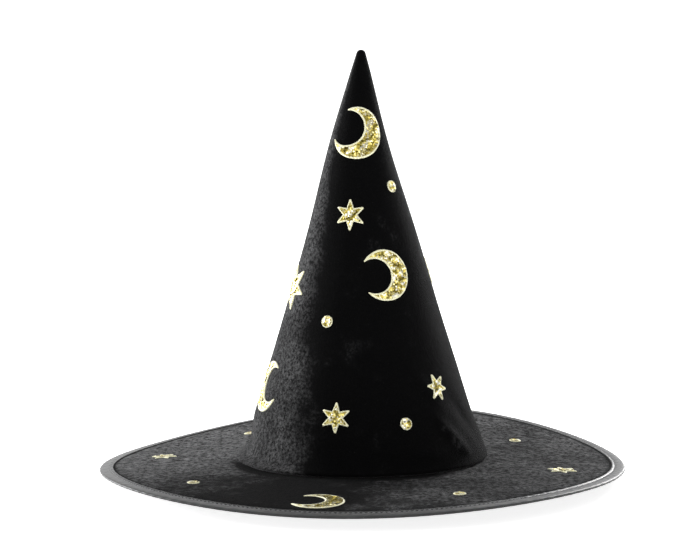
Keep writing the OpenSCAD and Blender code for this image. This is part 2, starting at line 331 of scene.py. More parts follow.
def spin(section, angles):
    """Carries a section round the hat: section is (n, 2) or (angles, n, 2) of radius and height, and
    point (i, j) is section point j turned by angle i about the upright axis."""
    return round_axis(section[..., 0], angles[:, None], section[..., 1])


def hoop(section, angles):
    """A closed section carried round the hat and settled, as one skin."""
    return tube(settle(spin(section, angles)), wrap_rows=True)


def pushed_in(points, by):
    """Points moved towards the upright axis, each by its own distance."""
    share = 1 - by / np.maximum(np.hypot(points[..., 0], points[..., 1]), 1.0)
    return points * np.stack([share, share, np.ones_like(share)], axis=-1)


def arc(x, z, r, start, end, count):
    """Points on a circle of radius r about (x, z), from one angle to another in degrees."""
    a = np.radians(np.linspace(start, end, count))
    return np.stack([x + r * np.cos(a), z + r * np.sin(a)], axis=-1)


def wall_line(depth, low, high, count):
    """Points of the crown's wall at a depth below the velvet's face, from low to high, closer at the foot."""
    z = low + (high - low) * np.linspace(0, 1, count) ** 1.5
    return np.stack([crown_radius(z) - depth * LEVEL, z], axis=-1)


def rolled_line(depth, high, count):
    """The wall's line with the roll of its foot: along the brim, round the lip, then up the wall."""
    lip_x = float(crown_radius(SKIRT_Z)) - LIP_ROUND * math.cos(LIP_TILT)
    lip_z = LIP_Z + LIP_ROUND
    flat = [[HOLE_R + 0.1, LIP_Z + depth]]
    roll = arc(lip_x, lip_z, LIP_ROUND - depth, -90, math.degrees(LIP_TILT) - 4, 12)
    return np.concatenate([flat, roll, wall_line(depth, SKIRT_Z + 0.3, high, count)])


def stitches(starts, ends, ups, thick):
    """A row of threads, each arched from its start to its end over the cloth: a ring of six points is
    carried along a half sine that begins and ends inside the cloth."""
    lift, sunk, slim = 0.8, 0.3, 0.55
    s = np.linspace(0, 1, 6)[None, :, None]
    middle = starts[:, None] * (1 - s) + ends[:, None] * s
    middle = middle + ups[:, None] * thick * (lift * np.sin(np.pi * s) - sunk)
    along = ends - starts
    along = along / np.linalg.norm(along, axis=1, keepdims=True)
    side = np.cross(along, ups)
    a = full_turn(6)[None, None, :, None]
    full = slim + (1 - slim) * np.sin(np.pi * s)[..., None]
    ring = side[:, None, None] * np.cos(a) + ups[:, None, None] * np.sin(a)
    return many(middle[:, :, None] + ring * full * thick / 2)


# ---------------------------------------------------------------- materials
def put(tree, kind, inputs=None, **settings):
    """Adds a node, sets it up, and links or sets its inputs."""
    made = tree.nodes.new(kind)
    for name, value in settings.items():
        setattr(made, name, value)
    for name, value in (inputs or {}).items():
        if isinstance(value, bpy.types.NodeSocket):
            tree.links.new(value, made.inputs[name])
        else:
            made.inputs[name].default_value = value
    return made


def paint(tree, shader, factor, *stops):
    """Colours the shader through a ramp of (place, colour) stops."""
    made = put(tree, "ShaderNodeValToRGB", {"Fac": factor})
    line = made.color_ramp.elements
    while len(line) < len(stops):
        line.new(0.5)
    for stop, (place, colour) in zip(line, stops):
        stop.position = place
        stop.color = (*colour, 1.0)
    tree.links.new(made.outputs["Color"], shader.inputs["Base Color"])


def mottle(tree, shader, factor, colour, dark, light, low=0.3, high=0.7):
    """Paints the shader from a darker to a lighter shade of one colour."""
    paint(tree, shader, factor, (low, shade(colour, dark)), (high, shade(colour, light)))


def maths(tree, operation, *values):
    """One sum of the shader's numbers."""
    return put(tree, "ShaderNodeMath", dict(enumerate(values)), operation=operation).outputs[0]


def stretch(tree, value, low, high, out_low=0.0, out_high=1.0):
    """A value between low and high carried over to between out_low and out_high."""
    return put(tree, "ShaderNodeMapRange", {"Value": value, "From Min": low, "From Max": high,
                                            "To Min": out_low, "To Max": out_high}).outputs[0]


def strands(tree, place, pitch, bands, **more):
    """Fine waves about pitch mm apart."""
    return put(tree, "ShaderNodeTexWave", {"Vector": place, "Scale": 0.16 / (pitch * MM), **more},
               bands_direction=bands).outputs["Fac"]


def tone(tree):
    """The number kept with each point of the piece: painted light and shade on the velvet and binding, each
    flake's own tone on the glitter.
    """
    return put(tree, "ShaderNodeAttribute", attribute_name="tone").outputs["Fac"]


def shade(colour, by):
    """A colour made lighter or darker."""
    return tuple(min(1.0, c * by) for c in colour)


def start_material(name, sockets):
    """A new material with its Principled shader's plain sockets set."""
    material = bpy.data.materials.new(name)
    material.use_nodes = True
    tree = material.node_tree
    shader = tree.nodes["Principled BSDF"]
    for socket, value in sockets.items():
        shader.inputs[socket].default_value = value
    return material, tree, shader


def noise(tree, vector, size, detail=3.0, rough=0.6):
    """Noise whose blotches are about size mm across."""
    return put(tree, "ShaderNodeTexNoise", {"Vector": vector, "Scale": 1 / (size * MM), "Detail": detail,
                                            "Roughness": rough}).outputs["Fac"]


def object_place(tree):
    """The place on the piece, in metres."""
    return put(tree, "ShaderNodeTexCoord").outputs["Object"]


def height(tree, shader, value, deep, strength=1.0):
    """Feeds a height of up to deep mm into the shader's normal."""
    relief = put(tree, "ShaderNodeBump", {"Height": value, "Distance": deep * MM, "Strength": strength})
    tree.links.new(relief.outputs["Normal"], shader.inputs["Normal"])


def colours():
    return bpy.context.scene.witch_hat_colours


def sizes():
    return bpy.context.scene.witch_hat_sizes


def known(maker):
    """Makes each material once, under its maker's name."""
    def make():
        name = "hat_" + maker.__name__
        return bpy.data.materials.get(name) or maker(name)
    return make


def velvet(name, grain, sheen, gain):
    """Short pile: black where it stands up, and greyer where the attribute "tone" is high, which is painted
    light (the lit side, painted sheen and highlights; low values are painted shade), and where random clumps
    of pile lie over, in flecks of about grain mm, with a soft sheen along its edges."""
    colour, brushed = tuple(colours().velvet), shade(colours().brushed, gain)
    material, tree, shader = start_material(name, {
        "Roughness": 0.9, "Specular IOR Level": 0.03, "Sheen Weight": sheen,
        "Sheen Roughness": 0.3, "Sheen Tint": (0.8, 0.8, 0.82, 1.0)})
    place = object_place(tree)
    pile = noise(tree, place, grain, 6.0, 0.8)
    clump = noise(tree, place, 26.0)
    # Painted light and shade from the attribute "tone", plus random clumps of lying pile.
    over = maths(tree, "ADD", tone(tree), maths(tree, "MULTIPLY_ADD", clump, 1.2, -0.6))
    fibre = stretch(tree, pile, 0.4, 0.62)
    lit = maths(tree, "MULTIPLY", stretch(tree, over, 0.12, 0.95), fibre)
    paint(tree, shader, lit, (0.0, shade(colour, 0.7)), (0.06, colour), (1.0, brushed))
    height(tree, shader, pile, 1.2, 0.8)
    return material


@known
def crown_velvet(name):
    return velvet(name, 2.3, 0.085, 1.12)


@known
def brim_velvet(name):
    return velvet(name, 4.0, 0.022, 1.55)


@known
def grey_felt(name):
    """Pressed felt: short tangled fibres."""
    colour = tuple(colours().felt)
    material, tree, shader = start_material(name, {"Roughness": 0.95, "Specular IOR Level": 0.1})
    fibre = noise(tree, object_place(tree), 0.8, 5.0, 0.75)
    mottle(tree, shader, fibre, colour, 0.6, 1.4)
    height(tree, shader, fibre, 0.3)
    return material


def woven(name, colour, rough, pitch, sheen, deep=0.08):
    """A plain weave on the piece's own place: two crossed fine waves with thread-to-thread change."""
    material, tree, shader = start_material(name, {
        "Roughness": rough, "Specular IOR Level": 0.4, "Sheen Weight": sheen, "Sheen Roughness": 0.4})
    place = object_place(tree)
    both = maths(tree, "ADD", *(strands(tree, place, pitch, bands, Distortion=0.3)
                                for bands in ("Z", "DIAGONAL")))
    uneven = noise(tree, place, 6.0, 4.0)
    mottle(tree, shader, uneven, colour, 0.75, 1.25)
    height(tree, shader, both, deep)
    return material


@known
def black_lining(name):
    return woven(name, tuple(colours().lining), 0.55, 0.5, 0.2)


@known
def velvet_backing(name):
    return woven(name, record_colour("velvet_backing"), 0.85, 0.9, 0.1)


@known
def black_satin(name):
    return woven(name, tuple(colours().underside), 0.38, 0.35, 0.25, 0.04)


@known
def black_grosgrain(name):
    return woven(name, tuple(colours().sweatband), 0.5, 0.3, 0.2, 0.05)


@known
def white_label(name):
    return woven(name, record_colour("white_label"), 0.6, 0.35, 0.1, 0.03)


@known
def stiff_board(name):
    """Pressed board: speckled pulp."""
    colour = record_colour("stiff_board")
    material, tree, shader = start_material(name, {"Roughness": 0.9, "Specular IOR Level": 0.2})
    pulp = noise(tree, object_place(tree), 1.5, 5.0, 0.7)
    mottle(tree, shader, pulp, colour, 0.7, 1.3)
    height(tree, shader, pulp, 0.2)
    return material


@known
def grey_satin(name):
    """Satin bias tape: its colour goes dark as painted shade where the attribute "tone" is low, on the lower
    half of its roll and in the groove at the stitches, and is uneven where it was pressed; glossy floats lie
    aslant in its bump.
    """
    colour = tuple(colours().binding)
    material, tree, shader = start_material(name, {
        "Roughness": 0.42, "Specular IOR Level": 0.2, "Sheen Weight": 0.1, "Sheen Roughness": 0.3})
    place = object_place(tree)
    floats = strands(tree, place, 0.45, "DIAGONAL", Distortion=1.0, Detail=1.0)
    pressed = noise(tree, place, 14.0, 4.0)
    # Painted shade: dark where "tone" marks the lower roll and the stitch groove.
    lit = maths(tree, "MULTIPLY", tone(tree), stretch(tree, pressed, 0.25, 0.75, 0.55))
    paint(tree, shader, lit, (0.0, shade(colour, 0.04)), (1.0, colour))
    height(tree, shader, floats, 0.05, 0.7)
    return material


@known
def steel(name):
    """Drawn wire: fine scratches along it."""
    material, tree, shader = start_material(name, {"Metallic": 1.0})
    drawn = noise(tree, object_place(tree), 0.6, 4.0, 0.7)
    mottle(tree, shader, drawn, record_colour("steel"), 0.8, 1.1)
    tree.links.new(stretch(tree, drawn, 0.0, 1.0, 0.22, 0.45), shader.inputs["Roughness"])
    return material


def thread(name, colour, rough, twist=0.35, sheen=0.2):
    """Twisted thread: slanting strands across each stitch."""
    material, tree, shader = start_material(name, {
        "Roughness": rough, "Sheen Weight": sheen, "Sheen Roughness": 0.4})
    ply = strands(tree, object_place(tree), twist, "DIAGONAL", Distortion=0.5)
    mottle(tree, shader, ply, colour, 0.75, 1.15, 0.1, 0.9)
    height(tree, shader, ply, 0.06)
    return material


@known
def grey_thread(name):
    return thread(name, record_colour("grey_thread"), 0.6)


@known
def black_thread(name):
    return thread(name, record_colour("black_thread"), 0.6)


@known
def pale_gold_thread(name):
    """Metallic embroidery thread, close to cream, laid in satin stitch."""
    return thread(name, tuple(colours().edging), 0.5, 0.5, 0.7)


@known
def gold_glitter(name):
    """Glitter flakes: each flake has its own tone, from olive through gold to nearly white."""
    colour = tuple(colours().glitter)
    material, tree, shader = start_material(name, {"Metallic": 1.0, "Roughness": 0.28})
    paint(tree, shader, tone(tree), (0.0, (0.11, 0.09, 0.008)), (0.3, shade(colour, 0.5)), (0.55, colour),
          (0.75, (0.98, 0.9, 0.45)), (0.92, (1.0, 0.98, 0.85)))
    grain = noise(tree, object_place(tree), 0.25, 2.0)
    height(tree, shader, grain, 0.02)
    return material


def crown_nap(points):
    """Painted light on the crown's velvet, 0 to 1: a broad painted lit band on the -X side, where the key
    light falls, that leans as it climbs, a weaker painted rim-lit band behind +X, a painted highlight along a
    crease on the +X front, and a small even amount everywhere."""
    turn = np.degrees(np.arctan2(points[:, 0], -points[:, 1]))
    edge = -12.5 - 0.115 * points[:, 2] + 2.5 * np.sin(points[:, 2] / 23)
    # Painted light: the side lit by the key light, and the side behind +X lit by the rim light.
    left = 0.78 * smooth((turn + 168) / 70) * smooth((edge - turn) / 30)
    right = 0.5 * smooth((turn - 55) / 30) * smooth((150 - turn) / 40) * smooth((points[:, 2] - 70) / 150)
    # Painted highlight along the crease low on the +X front.
    fold = 0.24 * bump((turn - 49 + 0.35 * (points[:, 2] - 40)) / 6) * bump((points[:, 2] - 40) / 20)
    return left + right + fold + 0.03


def brim_nap(points):
    """Painted light and shade on the brim's velvet, 0 to 1: painted sheen over the whole brim, most at the
    back left, with a painted shadow of the crown in a wedge at the front left, painted shade under the
    crown's lip there, and a painted shadow line along the binding."""
    turn = np.degrees(np.arctan2(points[:, 1], points[:, 0])) % 360
    r = np.hypot(points[:, 0], points[:, 1])
    # Painted sheen all over, more at the back left; painted shadow of the crown at the front left, and
    # painted shade towards the front.
    lay = (0.7 + 0.3 * bump((turn - 150) / 45) - 0.58 * bump((turn - 246) / 27)
           - 0.22 * bump((turn - 285) / 40))
    # Painted shade under the crown's lip, from the left round to the front.
    lay = lay - bump((r - FOOT_R - 1) / 4) * smooth((turn - 176) / 24) * smooth((330 - turn) / 60)
    # Painted shadow line where the velvet meets the binding.
    return lay - bump((r - BRIM_R + BINDING_W + 0.6) / 1.4)


# ---------------------------------------------------------------- crown
def seam_columns():
    """Angles round the crown, with extra ones beside the back seam so that its groove has a shape."""
    even = full_turn(288)
    near = np.radians([0.25, 0.5, 0.8, 1.25, 1.9])
    back = np.pi / 2
    even = even[np.abs(even - back) > np.radians(1.95)]
    return np.sort(np.concatenate([even, [back], back + near, back - near]))


def seam_groove(points):
    """Sinks the velvet into its back seam: a narrow Gaussian valley, and shallow puckers beside it."""
    x, y, z = points[..., 0], points[..., 1], points[..., 2]
    back = smooth(y / 4) * smooth((z - LIP_Z) / 4) * smooth((CROWN_TOP - 6 - z) / 10)
    pucker = 0.16 * np.sin(z * 2 * np.pi / 9.0) * bump((np.abs(x) - 3.2) / 2.2)
    sink = back * (0.75 * bump(x / 0.75) - 0.22 * bump((np.abs(x) - 2.4) / 1.6) + pucker)
    return pushed_in(points, sink)


def crown_cloth(depth, thick, high):
    """A closed shell of the crown's cloth, from its rounded tip down, round the lip and up inside."""
    ball_top = arc(0, TIP_Z, TIP_ROUND - depth, 88, math.degrees(CONE_ANGLE) + 6, 7)
    outer = np.concatenate([ball_top, rolled_line(depth, high, 150)[::-1]])
    inner = np.concatenate([rolled_line(depth + thick, high - 2, 60), [[0.3, high + 0.5]]])
    return np.concatenate([outer, inner])


def back_sheet(depth, side, z, inward=0.0):
    """Points of a sheet inside the crown's back: rows at heights z and columns at sideways places, both
    straight on the flat pattern, at a depth below the velvet's face and inward of that."""
    r = crown_radius(z)[:, None] - depth * LEVEL - inward
    return round_axis(r, np.pi / 2 - side / r, z[:, None])


class WITCH_HAT_OT_crown_shell(bpy.types.Operator):
    """Sew the crown's velvet, with its rolled foot, creases and back seam"""
    bl_idname = "witch_hat.crown_shell"
    bl_label = "Crown Velvet"

    def execute(self, context):
        section = crown_cloth(0.0, VELVET_T, CROWN_TOP - 3.2)
        points = spin(section, seam_columns()).transpose(1, 0, 2)
        skin = tube(settle(seam_groove(points)))
        # The crown's velvet carries painted light in its attribute "tone".
        make_piece("velvet_crown", skin, crown_velvet(), ["crown_velvet"], sharp=60,
                   values=crown_nap(skin[0]))
        return {"FINISHED"}


class WITCH_HAT_OT_crown_inside(bpy.types.Operator):
    """Make what the crown holds: felt, turned seam with its thread, and lining"""
    bl_idname = "witch_hat.crown_inside"
    bl_label = "Crown Inside"

    def execute(self, context):
        around = full_turn(180)
        felt = np.concatenate([rolled_line(FELT_IN, FELT_TOP, 60),
                               rolled_line(FELT_IN + FELT_T, FELT_TOP, 60)[::-1]])
        make_piece("crown_felt", hoop(felt, around), grey_felt(), ["crown_stiffener"], sharp=50)
        low, high = ALLOWANCE_LOW, ALLOWANCE_HIGH
        z, strips = np.linspace(low, high, 60), []
        across = np.linspace(0.4, 8.4, 7)
        for side in (-across, across):
            faces = back_sheet(TABS_IN, side, z), back_sheet(TABS_IN + ALLOWANCE_T, side, z)[:, ::-1]
            strips.append(tube(settle(np.concatenate(faces, axis=1))))
        make_piece("seam_allowance", join(strips), velvet_backing(),
                   ["crown_seam_allowance"], sharp=50)
        pitch, reach = 3.2, 2.7
        z = np.arange(low + 2, high - 4, pitch)
        starts, ends = self.seam_points(z), self.seam_points(z + reach)
        inward = np.broadcast_to([0.0, -1.0, 0.0], starts.shape)
        make_piece("seam_thread", stitches(starts, ends, inward, THREAD_T), black_thread(),
                   ["crown_seam_thread"])
        self.lining(around)
        return {"FINISHED"}

    @staticmethod
    def seam_points(z):
        r = crown_radius(z) - (TABS_IN + 0.6) * LEVEL
        return settle(np.stack([np.zeros_like(z), r, z], axis=-1))

    @staticmethod
    def lining(around):
        """The lining: a thin shell that closes near the tip, with loose shallow folds."""
        low, high = SKIRT_Z + 1, LINING_TOP - 1
        outer = wall_line(LINING_IN, low, high, 90)[::-1]
        inner = wall_line(LINING_IN + LINING_T, low, high - LINING_T, 90)
        section = np.concatenate([[[0.3, LINING_TOP]], outer, inner, [[0.3, LINING_TOP - LINING_T]]])
        points = spin(section, around).transpose(1, 0, 2)
        z = points[..., 2]
        a = np.arctan2(points[..., 1], points[..., 0])
        free = smooth((z - BAND_HIGH) / 20) * smooth((LINING_TOP - 20 - z) / 60)
        fold = 0.9 * free * (np.maximum(0, np.sin(7 * a + z / 40)) ** 3 + 0.5 * np.sin(11 * a - z / 25) ** 4)
        make_piece("crown_lining_cloth", tube(settle(pushed_in(points, fold))), black_lining(),
                   ["crown_lining"], sharp=60)


# ---------------------------------------------------------------- head opening
class WITCH_HAT_OT_head_seam(bpy.types.Operator):
    """Make the notched tabs that join brim and crown, and the stitches under them"""
    bl_idname = "witch_hat.head_seam"
    bl_label = "Head Seam"

    def execute(self, context):
        tabs, slit = 24, math.radians(0.5)
        edges = (np.arange(1, tabs + 1) + 0.5) * 2 * np.pi / tabs
        shift = np.array([-slit * 1.3, -slit, slit, slit * 1.3])
        between = np.linspace(slit * 2.5, 2 * np.pi / tabs - slit * 2.5, 6)
        angles = np.sort((edges[:, None] + np.concatenate([shift, between])[None, :]).ravel())
        near = np.abs((angles[:, None] - edges[None, :] + np.pi) % (2 * np.pi) - np.pi).min(1)
        high = np.where(near < slit * 1.15, LIP_Z + 4, TABS_HIGH)
        root = brim_under(TAB_R) - 0.05
        share = np.linspace(0, 1, 9)[None, :]
        z = root + (high[:, None] - root) * share

        def face(depth, straight):
            return np.stack([np.minimum(crown_radius(z) - depth * LEVEL, straight), z], axis=-1)

        faces = face(TABS_IN, TAB_R + TAB_T), face(TABS_IN + TAB_T, TAB_R)[:, ::-1]
        section = np.concatenate(faces, axis=1)
        make_piece("brim_tabs", hoop(section, angles), velvet_backing(),
                   ["head_seam_tabs"], sharp=50)
        r = HOLE_R + 1.6
        count = 180
        a = full_turn(count)
        reach = 0.8 * 2 * np.pi / count
        starts, ends = ring_points(a, r, brim_under(r)), ring_points(a + reach, r, brim_under(r))
        below = np.broadcast_to([0.0, 0.0, -1.0], (count, 3))
        make_piece("head_seam_stitches", stitches(starts, ends, below, HEAD_THREAD_T), black_thread(),
                   ["head_seam_thread"])
        return {"FINISHED"}


def ring_points(a, r, z):
    """Points at angles a on a circle of radius r at height z, settled."""
    return settle(round_axis(r, a, z))


class WITCH_HAT_OT_sweatband(bpy.types.Operator):
    """Make the ribbed sweatband, its stitches and the blank care label"""
    bl_idname = "witch_hat.sweatband"
    bl_label = "Sweatband and Label"

    def execute(self, context):
        ribs = 900
        angles = full_turn(ribs * 3)
        straight = [[HEAD_R + 1.2, BAND_LOW], [HEAD_R + 0.5, BAND_LOW + 1.4], [HEAD_R, BAND_LOW + 2.4],
                    [HEAD_R, SKIRT_Z - 2]]
        z = np.linspace(SKIRT_Z, BAND_HIGH, 6)
        cone = np.minimum(crown_radius(z) - (BAND_IN + BAND_T) * LEVEL, HEAD_R)
        inner = np.concatenate([straight, np.stack([cone, z], axis=-1)])
        outer = inner + [BAND_T, 0]
        section = np.repeat(np.concatenate([inner, outer[::-1]])[None], len(angles), axis=0)
        rib = 0.09 * np.cos(angles * ribs)
        section[:, 1:len(inner) - 1, 0] += rib[:, None]
        make_piece("ribbed_sweatband", hoop(section, angles), black_grosgrain(),
                   ["sweatband"], sharp=60)
        count = 170
        a = full_turn(count)
        r, z, reach = HEAD_R + 0.55, BAND_LOW + 1.1, 0.026
        inward = -round_axis(1.0, a, 0.0)
        low = stitches(ring_points(a, r, z), ring_points(a + reach, r, z), inward, HEAD_THREAD_T)
        make_piece("sweatband_stitches", low, grey_thread(), ["sweatband_thread"])
        self.label()
        return {"FINISHED"}

    @staticmethod
    def label():
        """A blank woven label, held along its top edge, with its free end curling into the crown."""
        depth = LINING_IN + LINING_T + LAY_GAP + 0.9
        rows, columns = 24, 16
        z = np.linspace(LABEL_HIGH, LABEL_LOW, rows)
        side = np.linspace(-LABEL_W / 2, LABEL_W / 2, columns)
        curl = 2.6 * smooth(np.linspace(0, 1, rows)) ** 2
        inward = curl[:, None] + 0.25 * np.sin(side / 4)
        skin = np.concatenate([back_sheet(depth, side, z, inward),
                               back_sheet(depth + LABEL_T, side, z, inward)[:, ::-1]], axis=1)
        make_piece("blank_label", tube(settle(skin)), white_label(), ["care_label"], sharp=50)


# ---------------------------------------------------------------- brim
def brim_cloth(low, high):
    """Section of a layer of the brim: from the head opening to the edge, between two heights above the
    lower face."""
    r = np.concatenate([np.linspace(HOLE_R, HOLE_R + 6, 5)[:-1], np.linspace(HOLE_R + 6, CLOTH_EDGE_R, 56)])
    return np.concatenate([np.stack([r, brim_under(r) + high], axis=-1),
                           np.stack([r, brim_under(r) + low], axis=-1)[::-1]])


class WITCH_HAT_OT_brim_cloth(bpy.types.Operator):
    """Make the brim's velvet, its board and the satin under it"""
    bl_idname = "witch_hat.brim_cloth"
    bl_label = "Brim Cloth"

    def execute(self, context):
        around = full_turn(480)
        top = hoop(brim_cloth(UNDER_T + BOARD_T, BRIM_T), around)
        # The brim's velvet carries painted light and shade in its attribute "tone".
        make_piece("velvet_brim", top, brim_velvet(), ["brim_velvet"], sharp=50,
                   values=brim_nap(top[0]))
        board = hoop(brim_cloth(UNDER_T, UNDER_T + BOARD_T), full_turn(240))
        make_piece("board_brim", board, stiff_board(), ["brim_board"], sharp=50)
        under = spin(brim_cloth(0.0, UNDER_T), around)
        x, y = under[..., 0], under[..., 1]
        r, a = np.hypot(x, y), np.arctan2(y, x)
        near = bump((r - HOLE_R - 2) / 9) + 0.7 * bump((CLOTH_EDGE_R - 9 - r) / 7)
        lower = under[..., 2] < brim_under(r) + 0.1
        tuck = 0.14 * near * np.sin(60 * a + 2 * np.sin(9 * a)) * lower
        under[..., 2] -= tuck
        make_piece("satin_underside", tube(settle(under), wrap_rows=True), black_satin(),
                   ["brim_underside"], sharp=50)
        return {"FINISHED"}


class WITCH_HAT_OT_brim_wire(bpy.types.Operator):
    """Make the steel wire in the brim's edge and the sleeve that joins its ends"""
    bl_idname = "witch_hat.brim_wire"
    bl_label = "Brim Wire"

    def execute(self, context):
        wire_x, wire_r = FOLD_X + 0.15, 0.75
        gap, sleeve = math.radians(1.0), math.radians(5.0)
        ring = arc(wire_x, FOLD_R, wire_r, 0, 330, 12)
        a = np.pi / 2 + np.linspace(gap / 2, 2 * np.pi - gap / 2, 480)
        make_piece("edge_wire", tube(settle(spin(ring, a), 0)), steel(), ["brim_wire"], sharp=60)
        a = np.pi / 2 + np.linspace(-sleeve / 2, sleeve / 2, 40)
        t = np.linspace(-1, 1, 40)
        squeeze = 0.14 * (bump((t - 0.45) / 0.1) + bump((t + 0.45) / 0.1))
        outer = np.stack([arc(wire_x, FOLD_R, wire_r + 0.42 - s, 0, 345, 24) for s in squeeze])
        bore = np.broadcast_to(arc(wire_x, FOLD_R, wire_r + 0.02, 0, 345, 24), outer.shape)
        loop = np.concatenate([spin(outer, a), spin(bore, a)[::-1]])
        make_piece("wire_sleeve", tube(settle(loop, 0), wrap_rows=True), steel(), ["wire_ferrule"],
                   sharp=40)
        return {"FINISHED"}


def binding_section():
    """The binding's cloth folded round the brim's edge: its outer face, then its inner face."""
    leg_x = BRIM_R - BINDING_W
    leg, fine = (np.linspace(leg_x, FOLD_X, count)[:-1] for count in (9, 19))
    low_out = np.stack([leg, brim_under(leg) - SATIN_T], axis=-1)
    top_out = np.stack([fine, brim_under(fine) + BRIM_T + SATIN_T], axis=-1)[::-1]
    top_in = np.stack([leg, brim_under(leg) + BRIM_T + 0.02], axis=-1)
    low_in = np.stack([leg, brim_under(leg) - 0.02], axis=-1)[::-1]
    outside = np.concatenate([low_out, arc(FOLD_X, FOLD_R, FOLD_R, -90, 90, 13), top_out])
    inside = np.concatenate([top_in, arc(FOLD_X, FOLD_R, FOLD_R - SATIN_T, 90, -90, 7), low_in])
    return outside, inside


class WITCH_HAT_OT_brim_binding(bpy.types.Operator):
    """Fold the satin binding round the brim's edge and stitch it down"""
    bl_idname = "witch_hat.brim_binding"
    bl_label = "Brim Binding"

    def execute(self, context):
        count = round(2 * np.pi * STITCH_R / (sizes().stitch_length / MM))
        outside, inside = binding_section()
        angles = full_turn(count * 4)
        section = np.repeat(np.concatenate([outside, inside])[None], len(angles), axis=0)
        a = angles[:, None]
        r, z = section[:, :len(outside), 0].copy(), section[:, :len(outside), 1].copy()
        up = np.where(z > FOLD_R, 1.0, -1.0)
        leg = smooth((FOLD_X + 1 - r) / 2)
        stitch = bump((r - STITCH_R) / 0.9) * (0.5 + 0.5 * np.cos(count * a))
        slant = (0.10 * np.sin(150 * a + r * 0.9) + 0.08 * np.sin(91 * a - r * 0.7 + 2 * np.sin(7 * a))
                 + 0.06 * np.sin(233 * a + r * 1.3))
        rest = (0.14 * bump((r - BEAD_R) / 2.2) + 0.55 * bump((r - HEM_R) / 0.9)
                - 0.24 * bump((r - STITCH_R) / 0.7))
        section[:, :len(outside), 1] += up * leg * (slant + rest - 0.1 * stitch + 0.1)
        section[:, :len(outside), 0] += (1 - leg) * 0.12 * np.sin(120 * a + 3 * np.sin(5 * a))
        # Painted shade: the binding's colour is dark on the lower half of its roll and in the groove along
        # the stitches, kept as the attribute "tone".
        high = section[..., 1] - brim_under(section[..., 0]) - BRIM_T / 2
        lit = smooth((high + 0.9) / 1.6) * (1 - 0.85 * bump((section[..., 0] - STITCH_R) / 0.75))
        make_piece("satin_binding", hoop(section, angles), grey_satin(), ["brim_binding"],
                   sharp=60, values=lit.ravel())
        a = full_turn(count) + 0.15 * 2 * np.pi / count
        b = a + 0.7 * 2 * np.pi / count
        rows = []
        for up, z in ((1.0, brim_under(STITCH_R) + BRIM_T + SATIN_T), (-1.0, brim_under(STITCH_R) - SATIN_T)):
            normal = np.broadcast_to([0.0, 0.0, up], (count, 3))
            rows.append(stitches(ring_points(a, STITCH_R, z), ring_points(b, STITCH_R, z), normal, THREAD_T))
        make_piece("binding_stitches", join(rows), grey_thread(), ["binding_thread"])
        return {"FINISHED"}


# ---------------------------------------------------------------- moons, stars and dots
MOON_R, MOON_CUT_R, MOON_CUT_OUT = 19.2, 12.95, 8.2
MOON_TIP, STAR_TIP = 0.5, 0.8
DOT_R = 4.5
STAR_NOTCH = 0.47
GLITTER_T = 0.5
PATCH_TONE = 0.45
PATCH_SUNK = 0.25
FLAKE_T = 0.07


def moon_outline(inset, count):
    """A crescent that opens along +X with rounded tips: the far arc of one circle, then the near arc of
    a smaller one set off to the side. Both arcs have count steps and go half-way round each tip, whose
    circle touches both arcs. inset narrows it all round."""
    tip = max(MOON_TIP - inset, 0.25)
    r, cut, out = MOON_R - inset - tip, MOON_CUT_R + inset + tip, MOON_CUT_OUT
    a = math.degrees(math.acos((r * r - cut * cut + out * out) / (2 * r * out)))
    b = math.degrees(math.acos((r * r - cut * cut - out * out) / (2 * cut * out)))
    x, y = r * math.cos(math.radians(a)), r * math.sin(math.radians(a))
    turn = (180 + a - b) / 2
    few = max(4, count // 24)
    far = np.concatenate([arc(x, y, tip, a - turn, a, few + 1)[:-1],
                          arc(0, 0, r + tip, a, 360 - a, count - 2 * few + 1),
                          arc(x, -y, tip, -a, turn - a, few + 1)[1:]])
    near = np.concatenate([arc(x, -y, tip, turn - a, 2 * turn - a, few + 1)[:-1],
                           arc(out, 0, cut - tip, 360 - b, b, count - 2 * few + 1),
                           arc(x, y, tip, a - 2 * turn, a - turn, few + 1)[1:]])
    return far, near


def star_outline(r, inset, per_side):
    """A six-pointed star with rounded tips: straight sides from each notch to a small circle that touches
    both sides of the point, then round it. inset narrows it all round."""
    notch = r * STAR_NOTCH
    lean = math.atan2(notch / 2, r - notch * math.cos(math.pi / 6))
    sharp = r + STAR_TIP * (1 / math.sin(lean) - 1)
    lean = math.atan2(notch / 2, sharp - notch * math.cos(math.pi / 6))
    k = 1 - inset / (sharp * math.sin(lean))
    sharp, notch = sharp * k, notch * k
    tip = max(STAR_TIP - inset, 0.2)
    few = 9
    x, y = notch / 2, notch * math.cos(math.pi / 6)
    middle = sharp - tip / math.sin(lean)
    round_ = arc(0, middle, tip, math.degrees(lean), 180 - math.degrees(lean), few)
    t = (np.arange(per_side) / per_side)[:, None]
    rise = np.array([[x, y]]) * (1 - t) + round_[:1] * t
    fall = round_[-1:] * (1 - t) + np.array([[-x, y]]) * t
    point = np.concatenate([rise, round_[:-1], fall])
    return np.concatenate([turned(point, 60 * n) for n in range(6)])


def ring_outline(r, count):
    a = full_turn(count)
    return np.stack([r * np.cos(a), r * np.sin(a)], axis=-1)


def turned(flat, degrees):
    """Flat points turned about their motif's middle."""
    c, s = math.cos(math.radians(degrees)), math.sin(math.radians(degrees))
    return np.stack([flat[..., 0] * c - flat[..., 1] * s, flat[..., 0] * s + flat[..., 1] * c], axis=-1)


